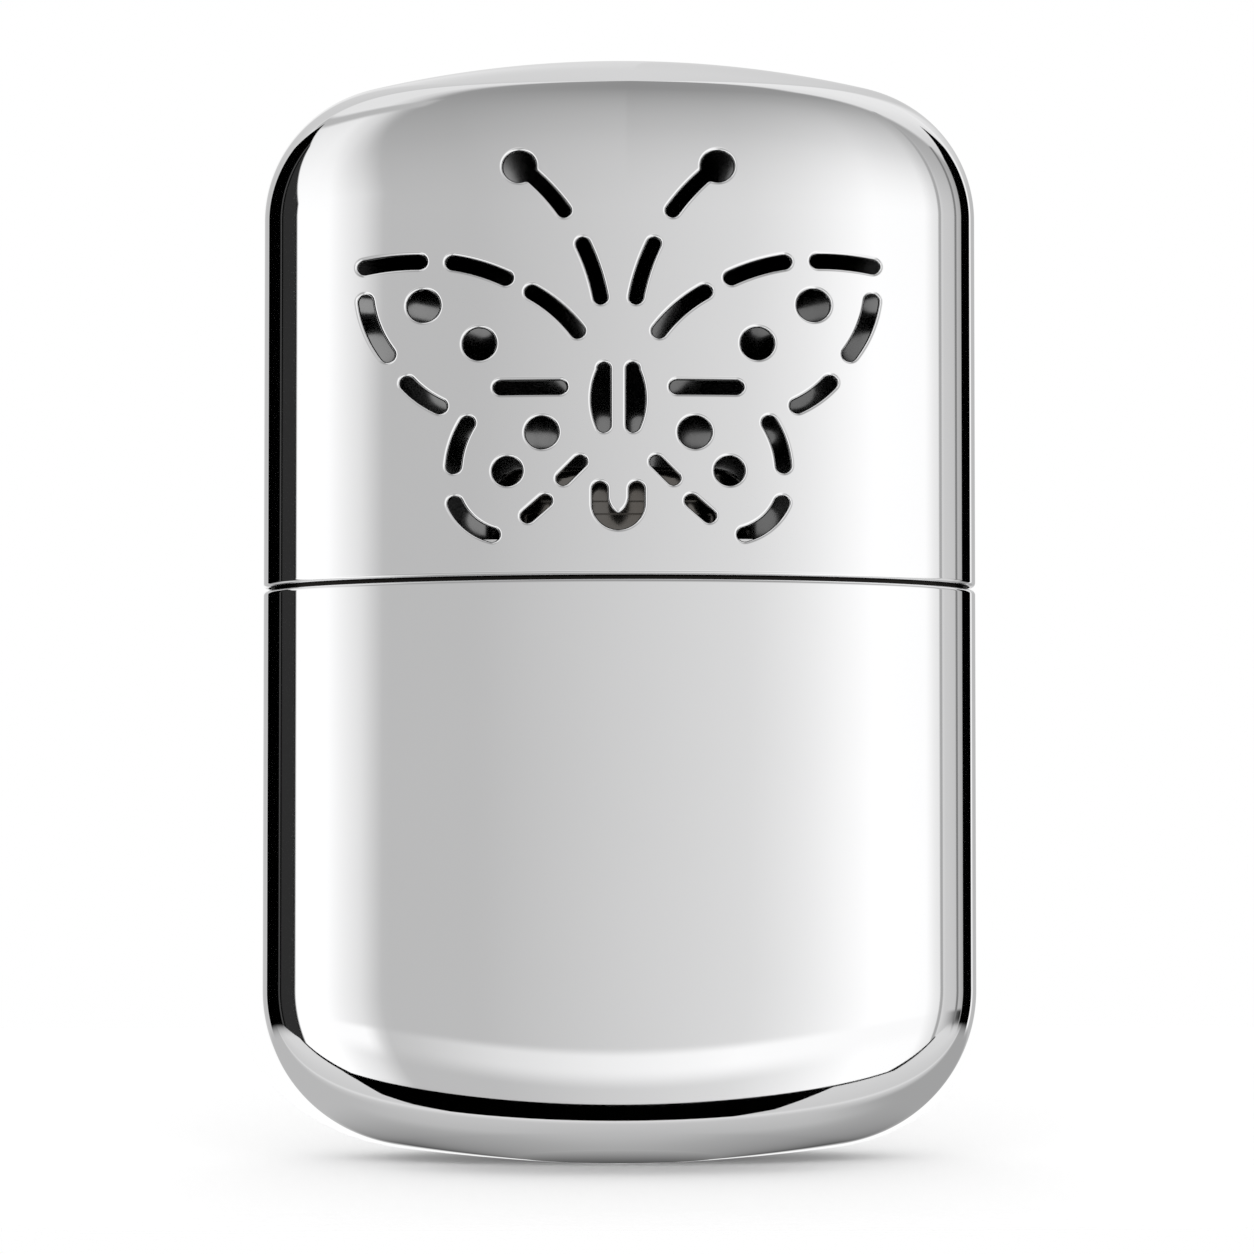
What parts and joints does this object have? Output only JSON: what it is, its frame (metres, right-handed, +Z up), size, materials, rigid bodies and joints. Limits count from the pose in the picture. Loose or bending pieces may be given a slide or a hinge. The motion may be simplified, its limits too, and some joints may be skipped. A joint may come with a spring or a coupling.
{
  "type": "catalytic hand warmer",
  "caption": "Flat oval pocket warmer: a polished metal tank with a plug-on catalytic burner and a lift-off cap pierced with butterfly air vents.",
  "frame": {"origin": "middle of the flat foot that the case stands on", "axes": "+Z up towards the cap's crown, +X along the width, the pierced face towards -Y"},
  "size_m": [0.066, 0.015, 0.1029],
  "materials": {
    "polished_case": "mirror polish",
    "plated_sheet": "bright, drawn",
    "burner_steel": "satin",
    "spring_steel": "blued satin",
    "rivet_brass": "bright",
    "wire_gauze": "woven wire",
    "catalyst_fibre": "glass fibre",
    "felt": "felt",
    "cotton": "loose cotton"
  },
  "bodies": {
    "tank": {"tank_shell": "polished_case", "shoulder_plate": "plated_sheet", "collar_band": "plated_sheet", "filler_neck": "plated_sheet", "neck_screen": "plated_sheet", "neck_grid": "plated_sheet", "neck_felt": "felt", "cotton_front": "cotton", "cotton_back": "cotton", "wick_strip": "felt"},
    "burner": {"burner_sleeve": "burner_steel", "sleeve_spring_left": "spring_steel", "sleeve_spring_right": "spring_steel", "spring_rivets": "rivet_brass", "burner_pan": "burner_steel", "lower_mesh": "wire_gauze", "catalyst_mat": "catalyst_fibre", "upper_mesh": "wire_gauze", "burner_frame": "burner_steel", "guard_bars": "burner_steel"},
    "cap": {"cap_shell": "polished_case"}
  },
  "joints": [
    {"name": "cap_lift", "type": "slide", "parent": "tank", "child": "cap", "axis": [0, 0, 1], "range_m": [0, 0.035]},
    {"name": "burner_lift", "type": "slide", "parent": "tank", "child": "burner", "axis": [0, 0, 1], "range_m": [0, 0.008]}
  ]
}
